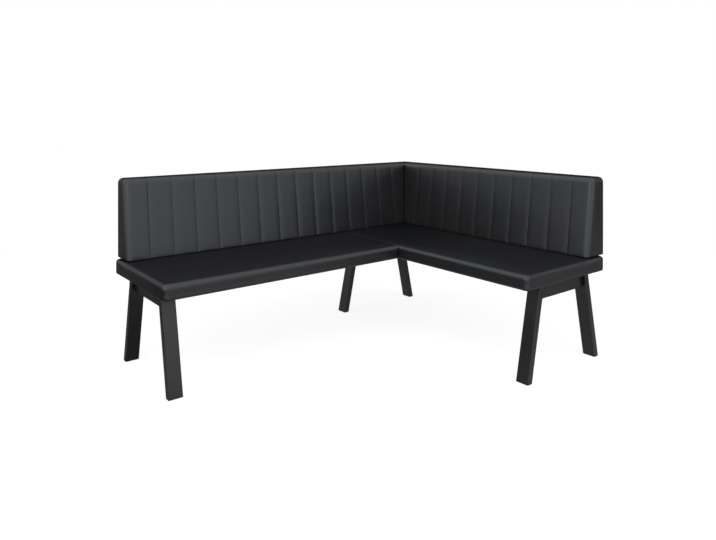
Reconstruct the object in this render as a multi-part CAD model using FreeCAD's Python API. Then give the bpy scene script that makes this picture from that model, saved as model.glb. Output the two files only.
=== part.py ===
import FreeCAD, Part
import math
import os
from FreeCAD import Vector

# Corner bench: an L-shaped upholstered seat in two modules, two channelled backs and three splayed trestles.
# Millimetres, +Z up. Every piece is drawn from the outer back corner of the bench, with z = 0 on the floor:
# the long wing runs along -X and the short wing along -Y. "Along" is the distance from that corner
# down a wing, and "out" is the distance from the rear plane of that wing towards the sitter.
# place() moves the finished pieces so that the origin is under the middle of the whole bench.

# Overall sizes
long_side = 1800.0
short_side = 1375.0
seat_height = 475.0
total_height = 833.0
seat_depth = 585.0
seat_thickness = 68.0
back_overhang = 26.0

# Seat upholstery
seat_corner_radius = 17.0
hidden_corner_radius = 8.75
seat_top_radius = 15.0
seat_bottom_radius = 10.0
seat_crown = 3.0
crown_reach = 110.0
crown_margin = 2.0
crown_steps = 2
side_draw_in = 1.5
seam_gap = 0.6
seam_past_front = 0.05
cover_thickness = 1.2
cover_turn_under = 36.0
lining_thickness = 0.8
lining_inset = 13.0

# Seat frame
frame_side_gap = 0.5
rail_width = 70.0
rail_height = 22.0
deck_thickness = 6.0
cross_rail_pitch = 330.0

# Backs
back_end_inset = 20.0
back_top_depth = 102.0
back_bottom_depth = 148.0
back_edge_radius = 22.0
back_foot_radius = 8.0
inner_bevel_share = 0.8
back_seat_gap = 0.3
channel_pitch = 112.5
first_channel = 104.0
channel_depth = 4.0
front_foam = 27.0
top_foam = 24.0
end_foam = 14.0
rear_padding = 5.0
front_panel_thickness = 6.0
rear_panel_thickness = 4.0
rib_thickness = 15.0
rib_pitch = 320.0
back_rail_height = 60.0
back_rail_thickness = 30.0
top_rail_height = 30.0

# Trestles
leg_width = 60.0
leg_thickness = 30.0
leg_splay = 12.0
leg_edge_radius = 2.0
crossbar_height = 72.0
crossbar_thickness = 30.0
trestle_end_inset = 47.0
trestle_front_setback = 152.0
trestle_rear_setback = 73.0
glide_thickness = 2.5
glide_inset = 5.0

# Dowels between legs and crossbars
dowel_diameter = 10.0
dowel_in_leg = 20.0
dowel_in_bar = 30.0
dowel_drops = (20.0, 50.0)
fit_gap = 0.1
cut_past = 1.0

# Dowels, bolts, screws and the holes for them are many, so their round bars have only this many sides
bar_sides = 6

# Crossbar bolts, bracket bolts and T-nuts
bolt_diameter = 8.0
bolt_hole_gap = 0.3
bolt_head_diameter = 13.0
bolt_head_height = 5.3
counterbore_diameter = 16.0
counterbore_depth = 10.0
crossbar_bolt_spread = 100.0
nut_barrel_diameter = 10.5
nut_barrel_length = 14.0
nut_flange_diameter = 19.0
nut_flange_thickness = 1.5
bolt_end_below_deck = 3.0

# Steel brackets that carry the backs
bracket_width = 40.0
bracket_thickness = 5.0
bracket_bend_radius = 4.0
bracket_bolt_edge = 11.0
bracket_bolt_pitch = 28.0
bracket_toe = 20.0
bracket_end_distance = 195.0
bracket_seam_distance = 150.0
bracket_corner_distance = 66.0
bracket_slot_gap = 0.5
back_screw_diameter = 6.0
back_screw_length = 25.0
back_screw_head_diameter = 11.0
back_screw_head_height = 3.0
back_screw_rises = (20.0, 45.0)

# Joining plates across the seam of the two seats
plate_length = 120.0
plate_width = 40.0
plate_thickness = 4.0
plate_outs = (215.0, 425.0)
plate_screw_offsets = (20.0, 40.0)
plate_screw_diameter = 4.5
plate_screw_head_diameter = 9.0
plate_screw_length = 20.0

# Sizes that follow
seat_bottom = seat_height - seat_thickness
seat_front = back_overhang + seat_depth
frame_inset = seat_bottom_radius + side_draw_in + frame_side_gap
seat_core_bottom = seat_bottom + lining_thickness
frame_bottom = seat_core_bottom + cover_thickness
rail_top = frame_bottom + rail_height
deck_top = rail_top + deck_thickness
back_base = seat_height + back_seat_gap
rake_run = back_bottom_depth - back_top_depth
rake_rise = total_height - seat_height
rake_length = math.hypot(rake_run, rake_rise)
back_frame_base = back_base + cover_thickness
back_frame_top = total_height - top_foam
leg_lean = math.tan(math.radians(leg_splay))
trestle_front = seat_front - trestle_front_setback
trestle_rear = back_overhang + trestle_rear_setback
bracket_face = back_overhang - back_seat_gap
bracket_back = bracket_face - bracket_thickness
bracket_top = back_frame_base + back_rail_height
bracket_bolt_near = back_overhang + frame_inset + bracket_bolt_edge
bracket_bolt_outs = (bracket_bolt_near, bracket_bolt_near + bracket_bolt_pitch)
bracket_toe_out = bracket_bolt_outs[1] + bracket_toe
seam_short = seat_front + seam_past_front
seam_long = seam_short + seam_gap
beyond = 3.0 * back_bottom_depth
wings = ("long", "short")
wing_length = {"long": long_side, "short": short_side}


def set_on(wing, shape):
    """A shape is drawn on the long wing; the short wing is its mirror image about the corner's diagonal."""
    if wing == "long":
        return shape
    return shape.mirror(Vector(0, 0, 0), Vector(1, -1, 0))


def block(along_0, along_1, out_0, out_1, z_0, z_1):
    """A box on the long wing."""
    size = (along_1 - along_0, out_1 - out_0, z_1 - z_0)
    return Part.makeBox(*size, Vector(-along_1, -out_1, z_0))


def polygon(sides, radius, centre, across):
    """A regular outline with its corners at a radius, spanned by the X direction and one across it."""
    points = []
    for index in range(sides):
        turn = 2 * math.pi * index / sides
        points.append(centre + Vector(radius * math.cos(turn), 0, 0) + across * radius * math.sin(turn))
    return Part.makePolygon(points + points[:1])


def upright(radius, along, out, z_0, z_1):
    """A round bar standing on the long wing."""
    outline = polygon(bar_sides, radius, Vector(-along, -out, z_0), Vector(0, 1, 0))
    return Part.Face(outline).extrude(Vector(0, 0, z_1 - z_0))


def outward(radius, along, out_0, out_1, z):
    """A round bar lying from out_0 to out_1 on the long wing."""
    outline = polygon(bar_sides, radius, Vector(-along, -out_0, z), Vector(0, 0, 1))
    return Part.Face(outline).extrude(Vector(0, out_0 - out_1, 0))


def side_prism(points, along_0, along_1):
    """A prism with its (out, z) profile drawn square to the long wing."""
    loop = [Vector(-along_0, -out, z) for out, z in points]
    face = Part.Face(Part.makePolygon(loop + loop[:1]))
    return face.extrude(Vector(along_0 - along_1, 0, 0))


def bent_edges(start, middle, finish, curved):
    """An arc through three points, or two straight runs through them."""
    if curved:
        return [Part.Arc(start, middle, finish).toShape()]
    return [Part.makeLine(start, middle), Part.makeLine(middle, finish)]


def rounded_loop(corners, z, draw_in, curved=True):
    """A clockwise loop of right-angled corners (x, y, radius), its sides drawn in between the corners."""
    count = len(corners)
    points = [Vector(x, y, z) for x, y, radius in corners]
    starts, edges, ends = [], [], []
    for index, (x, y, radius) in enumerate(corners):
        back = (points[index - 1] - points[index]).normalize()
        ahead = (points[(index + 1) % count] - points[index]).normalize()
        starts.append(points[index] + back * radius)
        ends.append(points[index] + ahead * radius)
    for index, (x, y, radius) in enumerate(corners):
        if radius > 0:
            bisector = (starts[index] + ends[index] - points[index] * 2).normalize()
            middle = points[index] + bisector * radius * (math.sqrt(2) - 1)
            edges += bent_edges(starts[index], middle, ends[index], curved)
        here, there = ends[index], starts[(index + 1) % count]
        run = (there - here).normalize()
        inward = Vector(run.y, -run.x, 0)
        middle = (here + there) / 2 + inward * draw_in
        if draw_in > 0:
            edges += bent_edges(here, middle, there, curved)
        else:
            edges.append(Part.makeLine(here, there))
    return Part.Wire(edges)


def seat_corners(inset, radius):
    """The six corners of both seats together, clockwise, drawn in all round by an inset."""
    near = back_overhang + inset
    front = seat_front - inset
    long_end = long_side - inset
    short_end = short_side - inset
    return [
        (-near, -near, radius),
        (-near, -short_end, radius),
        (-front, -short_end, radius),
        (-front, -front, 0),
        (-long_end, -front, radius),
        (-long_end, -near, radius),
    ]


def seat_loop(inset, z, draw_in=0.0):
    """The L-shaped outline of both seats with rounded corners, drawn in all round by an inset."""
    radius = max(seat_corner_radius - inset / 2, hidden_corner_radius)
    return rounded_loop(seat_corners(inset, radius), z, draw_in)


def seat_slab(inset, z_0, z_1):
    """A flat slab with the seat's outline."""
    return Part.Face(seat_loop(inset, z_0)).extrude(Vector(0, 0, z_1 - z_0))


def crown_sections():
    """The crown's outlines as (inset, rise) pairs: sloping bands that flatten towards the middle."""
    start = seat_top_radius + side_draw_in + crown_margin
    shares = [index / crown_steps for index in range(crown_steps + 1)]
    return [(start + (crown_reach - start) * share, seat_crown * (1 - (1 - share) ** 2)) for share in shares]


def seat_body():
    """Both seats as one crowned cushion with rounded edges."""
    level = seat_height - seat_crown
    middle = (seat_core_bottom + level) / 2
    outline = Part.Face(seat_loop(0, seat_core_bottom, side_draw_in))
    body = outline.extrude(Vector(0, 0, level - seat_core_bottom))
    body = body.makeFillet(seat_top_radius, [edge for edge in body.Edges if edge.BoundBox.ZMin > middle])
    body = body.makeFillet(seat_bottom_radius, [edge for edge in body.Edges if edge.BoundBox.ZMax < middle])
    crown = [rounded_loop(seat_corners(step, 0), level + rise, 0) for step, rise in crown_sections()]
    return body.fuse(Part.makeLoft(crown, True, True))


def seat_core():
    """The space inside the seats' covers. Hidden, so two straight runs stand for each of its arcs."""
    bottom = seat_core_bottom + cover_thickness
    level = seat_height - seat_crown - cover_thickness
    low_radius = seat_bottom_radius - cover_thickness
    high_radius = seat_top_radius - cover_thickness
    turns = [math.radians(angle) for angle in (0, 45, 90)]
    sections = []
    for turn in turns:
        sections.append((low_radius * (1 - math.sin(turn)), bottom + low_radius * (1 - math.cos(turn))))
    for turn in turns:
        sections.append((high_radius * (1 - math.cos(turn)), level - high_radius * (1 - math.sin(turn))))
    sections = [(cover_thickness + step, z) for step, z in sections]
    sections += [(step, level + rise) for step, rise in crown_sections()]
    loops = []
    for step, z in sections:
        radius = max(seat_corner_radius - step, hidden_corner_radius)
        loops.append(rounded_loop(seat_corners(step, radius), z, side_draw_in, curved=False))
    return Part.makeLoft(loops, True, True)


def split_at_seam(shape, margin):
    """The long and the short seat's share of a shape, each drawn back from the seam by a margin."""
    kerf = block(seam_short - margin, seam_long + margin, -beyond, seat_front + side_draw_in, 0, total_height)
    halves = sorted(shape.cut(kerf).Solids, key=lambda solid: solid.BoundBox.XMin)
    return {"long": halves[0], "short": halves[-1]}


def frame_span(wing):
    """Where the seat frame of a wing starts and ends along it."""
    start = seam_long if wing == "long" else back_overhang
    return start + frame_inset, wing_length[wing] - frame_inset


def trestle_places():
    """Each trestle's wing and the middle of its crossbar along that wing."""
    half = leg_width / 2
    return {
        "left": ("long", long_side - trestle_end_inset - half),
        "right": ("short", short_side - trestle_end_inset - half),
        "corner": ("short", back_overhang + half),
    }


def bracket_places(wing):
    """Where the brackets of a wing's back stand along it, the first one on the corner module."""
    last = wing_length[wing] - bracket_end_distance
    if wing == "long":
        first = seat_front - bracket_corner_distance
        second = seam_long + bracket_seam_distance
        return [first, second, (second + last) / 2, last]
    first = bracket_end_distance
    return [first, (first + last) / 2, last]


def nut_places():
    """Every T-nut: its wing, along and out."""
    places = []
    middle = (trestle_front + trestle_rear) / 2
    for wing, along in trestle_places().values():
        for side in (-1, 1):
            places.append((wing, along, middle + side * crossbar_bolt_spread))
    for wing in wings:
        for along in bracket_places(wing):
            places += [(wing, along, out) for out in bracket_bolt_outs]
    return places


def nut_room(gap):
    """The holes for all T-nuts and the bolts in them, larger than the nuts by a gap all round."""
    room = []
    for wing, along, out in nut_places():
        flange_bottom = rail_top - nut_flange_thickness
        barrel = upright(nut_barrel_diameter / 2 + gap, along, out, frame_bottom, rail_top)
        flange = upright(nut_flange_diameter / 2 + gap, along, out, flange_bottom, rail_top)
        room.append(set_on(wing, barrel.fuse(flange)))
    return room


def t_nuts():
    nuts = []
    for wing, along, out in nut_places():
        flange_bottom = rail_top - nut_flange_thickness
        barrel_bottom = flange_bottom - nut_barrel_length
        barrel = upright(nut_barrel_diameter / 2, along, out, barrel_bottom, flange_bottom)
        flange = upright(nut_flange_diameter / 2, along, out, flange_bottom, rail_top)
        bore = upright(bolt_diameter / 2 + fit_gap, along, out, frame_bottom, rail_top)
        nuts.append(set_on(wing, barrel.fuse(flange).removeSplitter().cut(bore)))
    return nuts


def seat_rails(wing):
    """Front rail, rear rail and cross rails of one seat frame."""
    start, end = frame_span(wing)
    near = back_overhang + frame_inset
    far = seat_front - frame_inset
    level = (frame_bottom, rail_top)
    front = block(start, end, far - rail_width, far, *level)
    rear = block(start, end, near, near + rail_width, *level)
    spans = []
    for place_wing, along in trestle_places().values():
        if place_wing == wing and along < (start + end) / 2:
            spans.append((start, along + rail_width / 2))
        elif place_wing == wing:
            spans.append((along - rail_width / 2, end))
    if wing == "long":
        spans.append((start, start + rail_width))
    spans.sort()
    first, last = spans[0][1], spans[-1][0]
    bays = round((last - first) / cross_rail_pitch)
    for index in range(1, bays):
        middle = first + (last - first) * index / bays
        spans.append((middle - rail_width / 2, middle + rail_width / 2))
    cross = [block(a, b, near + rail_width, far - rail_width, *level) for a, b in spans]
    rails = {"front_rail": [front], "rear_rail": [rear], "cross_rails": cross}
    return {name: [set_on(wing, piece) for piece in pieces] for name, pieces in rails.items()}


def plate_screw_places():
    """Each joining screw's along and out on the long wing."""
    middle = (seam_long + seam_short) / 2
    ends = [middle + side * (plate_length / 2 - offset) for side in (-1, 1) for offset in plate_screw_offsets]
    return [(along, out) for along in ends for out in plate_outs]


def plate_screws(gap):
    """The countersunk joining screws, or with a gap the holes for them."""
    screws = []
    under = seat_bottom - plate_thickness
    radius = plate_screw_diameter / 2 + gap
    head = plate_screw_head_diameter / 2 + gap
    across = Vector(0, 1, 0)
    for along, out in plate_screw_places():
        rim = polygon(bar_sides, head, Vector(-along, -out, under), across)
        neck = polygon(bar_sides, radius, Vector(-along, -out, under + head - radius), across)
        shank = upright(radius, along, out, under, under + plate_screw_length + gap)
        screws.append(Part.makeLoft([rim, neck], True, True).fuse(shank).removeSplitter())
    return screws


def joining_plates():
    middle = (seam_long + seam_short) / 2
    half_length, half_width = plate_length / 2, plate_width / 2
    plates = []
    for out in plate_outs:
        plate = block(middle - half_length, middle + half_length, out - half_width, out + half_width,
                      seat_bottom - plate_thickness, seat_bottom)
        plates.append(plate.cut(plate_screws(fit_gap)))
    return plates


def back_depth(z):
    """The depth of a back at a height."""
    return back_bottom_depth - rake_run * (z - seat_height) / rake_rise


def mitre(shape, margin):
    """Cut the corner end of a back on the diagonal, drawn back by a margin."""
    shift = margin * math.sqrt(2)
    loop = [
        Vector(-beyond - shift, -beyond, 0),
        Vector(beyond - shift, beyond, 0),
        Vector(2 * beyond, beyond, 0),
        Vector(2 * beyond, -beyond, 0),
    ]
    tool = Part.Face(Part.makePolygon(loop + loop[:1])).extrude(Vector(0, 0, 2 * total_height))
    return shape.cut(tool)


def channelled_front(end, inset):
    """A tall prism behind the raked front: one shallow arc from each sewn channel to the next."""
    up = Vector(0, rake_run, rake_rise) / rake_length
    ahead = Vector(0, -rake_rise, rake_run) / rake_length
    foot = Vector(0, -back_bottom_depth, seat_height) - up * rake_length / 4 - ahead * inset
    count = math.ceil((end - first_channel) / channel_pitch) + 2
    seams = [end - first_channel + channel_pitch - channel_pitch * index for index in range(count)]

    def point(along, proud):
        return foot + Vector(-along, 0, 0) + ahead * proud

    edges = []
    for near, far in zip(seams, seams[1:]):
        arc = Part.Arc(point(near, -channel_depth), point((near + far) / 2, 0), point(far, -channel_depth))
        edges.append(arc.toShape())
    corners = [
        point(seams[-1], -channel_depth),
        point(seams[-1], -back_bottom_depth * 2),
        point(seams[0], -back_bottom_depth * 2),
        point(seams[0], -channel_depth),
    ]
    for start, finish in zip(corners, corners[1:]):
        edges.append(Part.LineSegment(start, finish).toShape())
    return Part.Face(Part.Wire(edges)).extrude(up * rake_length * 1.5)


def back_body(wing, inset):
    """A back's rounded wedge with its channels; an inset gives the space inside a cover or padding.

    That inner space is hidden, so a bevel stands for each of its round edges.
    """
    end = wing_length[wing] - back_end_inset - inset
    base, top = back_base + inset, total_height - inset
    slant = inset * rake_length / rake_rise
    points = [(inset, base), (inset, top), (back_depth(top) - slant, top), (back_depth(base) - slant, base)]
    body = side_prism(points, -beyond, end)
    radius = back_edge_radius - inset
    foot_radius = back_foot_radius - inset
    upper = [edge for edge in body.Edges if edge.BoundBox.XMin < 0 and edge.BoundBox.ZMax > base + radius]
    if inset > 0:
        body = body.makeChamfer(radius * inner_bevel_share, upper)
    else:
        body = body.makeFillet(radius, upper)
    foot = [edge for edge in body.Edges if edge.BoundBox.XMin < 0 and edge.BoundBox.ZMax < base + 1]
    if inset > 0:
        body = body.makeChamfer(foot_radius * inner_bevel_share, foot)
    else:
        body = body.makeFillet(foot_radius, foot)
    body = body.common(channelled_front(wing_length[wing] - back_end_inset, inset))
    tip = Part.makeBox(beyond, beyond, 2 * total_height, Vector(-back_edge_radius, -back_edge_radius, 0))
    core = Part.makeCylinder(radius, 2 * total_height, Vector(-back_edge_radius, -back_edge_radius, 0))
    body = body.cut(tip.cut(core))
    return mitre(body, seam_gap / 2 + inset)


def back_frame_prism(wing, out_0, out_1, z_0, z_1):
    """A layer of a back's frame between two (bottom, top) outs, from its free end to the mitre."""
    end = wing_length[wing] - back_end_inset - end_foam
    points = [(out_0[0], z_0), (out_0[1], z_1), (out_1[1], z_1), (out_1[0], z_0)]
    return mitre(side_prism(points, -beyond, end), end_foam)


def level_outs(out):
    return (out, out)


def raked_outs(behind, z_0, z_1):
    """Outs at two heights on a plane that lies behind the raked front by a level distance."""
    return (back_depth(z_0) - behind, back_depth(z_1) - behind)


def back_frame(wing):
    """Rails, ribs and panels of one back, all inside the padding."""
    low, high = back_frame_base, back_frame_top
    inner = back_body(wing, rear_padding)
    panel_back = front_foam + front_panel_thickness
    rear_inside = level_outs(rear_padding + rear_panel_thickness)
    envelope = back_frame_prism(wing, level_outs(rear_padding), raked_outs(front_foam, low, high), low, high)
    envelope = envelope.common(inner)
    front_panel = back_frame_prism(wing, raked_outs(panel_back, low, high), raked_outs(front_foam, low, high),
                                   low, high)
    rear_panel = back_frame_prism(wing, level_outs(rear_padding), rear_inside, low, high)
    rail_level = (low, low + back_rail_height)
    rail_front = level_outs(bracket_face + back_rail_thickness)
    bottom_rail = back_frame_prism(wing, level_outs(bracket_face), rail_front, *rail_level)
    top_level = (high - top_rail_height, high)
    top_rail = back_frame_prism(wing, rear_inside, raked_outs(panel_back, *top_level), *top_level)
    web = back_frame_prism(wing, rear_inside, raked_outs(panel_back, low, high), low, high)
    start = back_depth(low)
    end = wing_length[wing] - back_end_inset - end_foam
    bays = round((end - start) / rib_pitch)
    ribs = []
    for index in range(bays + 1):
        along = start + (end - start - rib_thickness) * index / bays
        rib = web.common(block(along, along + rib_thickness, 0, beyond, 0, 2 * total_height))
        ribs.append(rib.cut([bottom_rail, top_rail] + bracket_room(wing)))
    layers = {
        "front_panel": [front_panel],
        "rear_panel": [rear_panel],
        "bottom_rail": [bottom_rail.cut(back_screws(wing, fit_gap))],
        "top_rail": [top_rail],
        "ribs": ribs,
    }
    return envelope, {name: [piece.common(inner) for piece in pieces] for name, pieces in layers.items()}


def bracket_profile():
    """The bent flat steel seen from the side: a foot below the seat and a leg up into the back."""
    under = seat_bottom - bracket_thickness
    outer = bracket_bend_radius + bracket_thickness
    lean = math.sqrt(0.5)

    def point(out, z):
        return Vector(0, -out, z)

    def bend(radius, start, finish):
        centre_out, centre_z = bracket_back + outer, under + outer
        middle = point(centre_out - radius * lean, centre_z - radius * lean)
        return Part.Arc(start, middle, finish).toShape()

    toe_low = point(bracket_toe_out, under)
    toe_high = point(bracket_toe_out, seat_bottom)
    heel_low = point(bracket_back + outer, under)
    heel_back = point(bracket_back, under + outer)
    top_back = point(bracket_back, bracket_top)
    top_face = point(bracket_face, bracket_top)
    heel_face = point(bracket_face, under + outer)
    heel_high = point(bracket_back + outer, seat_bottom)
    edges = [
        Part.makeLine(toe_low, heel_low),
        bend(outer, heel_low, heel_back),
        Part.makeLine(heel_back, top_back),
        Part.makeLine(top_back, top_face),
        Part.makeLine(top_face, heel_face),
        bend(bracket_bend_radius, heel_face, heel_high),
        Part.makeLine(heel_high, toe_high),
        Part.makeLine(toe_high, toe_low),
    ]
    return Part.Face(Part.Wire(edges))


def brackets(wing):
    pieces = []
    for along in bracket_places(wing):
        strip = bracket_profile().extrude(Vector(-bracket_width, 0, 0))
        strip.translate(Vector(bracket_width / 2 - along, 0, 0))
        holes = []
        for out in bracket_bolt_outs:
            holes.append(upright(bolt_diameter / 2 + bolt_hole_gap, along, out, 0, seat_height))
        pieces.append(strip.cut(holes + back_screws(wing, fit_gap)))
    return pieces


def bracket_room(wing):
    """Slots for the brackets in the ribs, the foam and the cover of a back."""
    half = bracket_width / 2 + bracket_slot_gap
    slots = []
    for along in bracket_places(wing):
        slots.append(block(along - half, along + half, bracket_back - bracket_slot_gap,
                           bracket_face + bracket_slot_gap, seat_height, bracket_top + bracket_slot_gap))
    return slots


def back_screws(wing, gap):
    """The pan-head screws that hold a back's bottom rail to its brackets, or with a gap their holes."""
    screws = []
    for along in bracket_places(wing):
        for rise in back_screw_rises:
            z = back_frame_base + rise
            tip = bracket_back + back_screw_length
            head_end = bracket_back - back_screw_head_height
            shank = outward(back_screw_diameter / 2 + gap, along, bracket_back, tip, z)
            head = outward(back_screw_head_diameter / 2 + gap, along, head_end, bracket_back, z)
            screws.append(shank.fuse(head))
    return screws


def bracket_bolts(wing):
    """Hexagon bolts through the bracket feet into the seat rails."""
    bolts = []
    under = seat_bottom - bracket_thickness
    for along in bracket_places(wing):
        for out in bracket_bolt_outs:
            shank = upright(bolt_diameter / 2, along, out, under, rail_top - bolt_end_below_deck)
            bolts.append(shank.fuse(hexagon(along, out, under - bolt_head_height)))
    return bolts


def hexagon(along, out, z):
    """A hexagonal bolt head, as wide across its flats as bolt_head_diameter."""
    outline = polygon(6, bolt_head_diameter / math.sqrt(3), Vector(-along, -out, z), Vector(0, 1, 0))
    return Part.Face(outline).extrude(Vector(0, 0, bolt_head_height))


def leg(along, top_out, lean):
    """A splayed leg: its outer face starts at top_out under the seat and moves out by lean per millimetre."""
    drop = seat_bottom - glide_thickness
    inward = -math.copysign(leg_thickness, lean)
    foot_out = top_out + lean * drop
    points = [
        (top_out, seat_bottom),
        (top_out + inward, seat_bottom),
        (foot_out + inward, glide_thickness),
        (foot_out, glide_thickness),
    ]
    half = leg_width / 2
    body = side_prism(points, along - half, along + half)
    long_edges = [edge for edge in body.Edges if edge.BoundBox.ZLength > drop / 2]
    return body.makeFillet(leg_edge_radius, long_edges)


def trestle(name):
    """One trestle: two legs, a crossbar between them, its dowels, bolts and glides."""
    wing, along = trestle_places()[name]
    drop = seat_bottom - glide_thickness
    low = seat_bottom - crossbar_height
    half = crossbar_thickness / 2
    front_leg = leg(along, trestle_front, leg_lean)
    rear_leg = leg(along, trestle_rear, -leg_lean)
    inner_front, inner_rear = trestle_front - leg_thickness, trestle_rear + leg_thickness
    spread = leg_lean * crossbar_height
    points = [
        (inner_rear, seat_bottom),
        (inner_front, seat_bottom),
        (inner_front + spread, low),
        (inner_rear - spread, low),
    ]
    crossbar = side_prism(points, along - half, along + half)
    bottom_edges = [edge for edge in crossbar.Edges
                    if edge.BoundBox.ZMax < low + leg_edge_radius and edge.BoundBox.YLength > leg_width]
    crossbar = crossbar.makeFillet(leg_edge_radius, bottom_edges)
    dowels, dowel_holes = [], []
    for dowel_drop in dowel_drops:
        z = seat_bottom - dowel_drop
        shift = leg_lean * dowel_drop
        for face, outwards in ((inner_front + shift, 1), (inner_rear - shift, -1)):
            ends = sorted((face + outwards * dowel_in_leg, face - outwards * dowel_in_bar))
            dowels.append(outward(dowel_diameter / 2, along, *ends, z))
            hole_ends = (ends[0] - fit_gap, ends[1] + fit_gap)
            dowel_holes.append(outward(dowel_diameter / 2 + fit_gap, along, *hole_ends, z))
    middle = (trestle_front + trestle_rear) / 2
    bolts, bolt_holes = [], []
    seat_z = low + counterbore_depth
    for side in (-1, 1):
        out = middle + side * crossbar_bolt_spread
        shank = upright(bolt_diameter / 2, along, out, seat_z, rail_top - bolt_end_below_deck)
        bolts.append(shank.fuse(hexagon(along, out, seat_z - bolt_head_height)))
        hole = upright(bolt_diameter / 2 + bolt_hole_gap, along, out, low - cut_past, seat_bottom)
        bolt_holes.append(hole.fuse(upright(counterbore_diameter / 2, along, out, low - cut_past, seat_z)))
    glides = []
    for foot_out, inward in ((trestle_front + leg_lean * drop, -1), (trestle_rear - leg_lean * drop, 1)):
        outs = sorted((foot_out + inward * glide_inset, foot_out + inward * (leg_thickness - glide_inset)))
        reach = leg_width / 2 - glide_inset
        glides.append(block(along - reach, along + reach, *outs, 0, glide_thickness))
    pieces = {
        "front_leg": [front_leg.cut(dowel_holes)],
        "rear_leg": [rear_leg.cut(dowel_holes)],
        "crossbar": [crossbar.cut(dowel_holes + bolt_holes)],
        "front_glide": glides[:1],
        "rear_glide": glides[1:],
        "dowels": dowels,
        "crossbar_bolts": bolts,
    }
    return {part: [set_on(wing, piece) for piece in group] for part, group in pieces.items()}


def underside_room():
    """Everything that passes up through the dust linings and the turned edges of the covers."""
    room = [shape.copy() for shape in plate_screws(bolt_hole_gap)]
    for wing, along, out in nut_places():
        room.append(set_on(wing, upright(bolt_diameter / 2 + bolt_hole_gap, along, out, 0, frame_bottom)))
    return room


def build_seats():
    """The nodes of both seats: cover, foam, deck, rails and lining."""
    nodes = {}
    room = underside_room()
    skins = split_at_seam(seat_body(), 0.0)
    cores = split_at_seam(seat_core(), cover_thickness)
    envelopes = split_at_seam(seat_slab(frame_inset, frame_bottom, deck_top), frame_inset)
    decks = split_at_seam(seat_slab(frame_inset, rail_top, deck_top), frame_inset)
    openings = split_at_seam(seat_slab(cover_turn_under, seat_core_bottom, frame_bottom), cover_turn_under)
    linings = split_at_seam(seat_slab(lining_inset, seat_bottom, seat_core_bottom), lining_inset)
    holes = nut_room(fit_gap) + plate_screws(fit_gap)
    for wing in wings:
        nodes[wing + "_seat_cover"] = [skins[wing].cut([cores[wing], openings[wing]] + room)]
        nodes[wing + "_seat_foam"] = [cores[wing].cut(envelopes[wing])]
        nodes[wing + "_seat_deck"] = [decks[wing]]
        nodes[wing + "_seat_lining"] = [linings[wing].cut(room)]
        for name, rails in seat_rails(wing).items():
            nodes[wing + "_seat_" + name] = [rail.common(envelopes[wing]).cut(holes) for rail in rails]
    return nodes


def build_backs():
    """The nodes of both backs: cover, foam, frame, brackets and their screws."""
    nodes = {}
    screws, bolts = [], []
    for wing in wings:
        outer, inner = back_body(wing, 0.0), back_body(wing, cover_thickness)
        envelope, layers = back_frame(wing)
        slots = bracket_room(wing)
        end = wing_length[wing] - back_end_inset - cover_turn_under
        turned = [
            (cover_turn_under, back_base - cut_past),
            (cover_turn_under, back_frame_base),
            (back_bottom_depth - cover_turn_under, back_frame_base),
            (back_bottom_depth - cover_turn_under, back_base - cut_past),
        ]
        opening = mitre(side_prism(turned, -beyond, end), cover_turn_under)
        layers["cover"] = [outer.cut([inner, opening] + slots)]
        layers["foam"] = [inner.cut([envelope] + slots)]
        layers["brackets"] = brackets(wing)
        for name, pieces in layers.items():
            nodes[wing + "_back_" + name] = [set_on(wing, piece) for piece in pieces]
        screws += [set_on(wing, piece) for piece in back_screws(wing, 0.0)]
        bolts += [set_on(wing, piece) for piece in bracket_bolts(wing)]
    nodes["bracket_screws"] = screws
    nodes["bracket_bolts"] = bolts
    return nodes


def build_trestles():
    """The nodes of the three trestles; their dowels and bolts share a node each."""
    nodes = {"leg_dowels": [], "crossbar_bolts": []}
    for name in trestle_places():
        pieces = trestle(name)
        nodes["leg_dowels"] += pieces.pop("dowels")
        nodes["crossbar_bolts"] += pieces.pop("crossbar_bolts")
        for part, group in pieces.items():
            nodes[name + "_" + part] = group
    return nodes


def place(shape):
    """Move a piece from the outer back corner to the frame under the middle of the bench."""
    moved = shape.copy()
    moved.translate(Vector(long_side / 2, short_side / 2, 0))
    return moved


def main():
    os.makedirs("parts", exist_ok=True)
    nodes = {}
    nodes.update(build_seats())
    nodes.update(build_backs())
    nodes.update(build_trestles())
    nodes["seat_t_nuts"] = t_nuts()
    nodes["joining_plates"] = joining_plates()
    nodes["joining_screws"] = plate_screws(0.0)
    for name, pieces in nodes.items():
        solids = [solid for piece in pieces for solid in place(piece).Solids]
        shape = solids[0] if len(solids) == 1 else Part.makeCompound(solids)
        shape.exportStep(os.path.join("parts", name + ".step"))
        state = "valid" if shape.isValid() else "not valid"
        print(name, len(solids), "solids", round(shape.Volume / 1000), "cm3", state)


main()
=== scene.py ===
import math

import bmesh
import bpy
import numpy as np
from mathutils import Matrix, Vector
from mathutils.bvhtree import BVHTree


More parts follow.
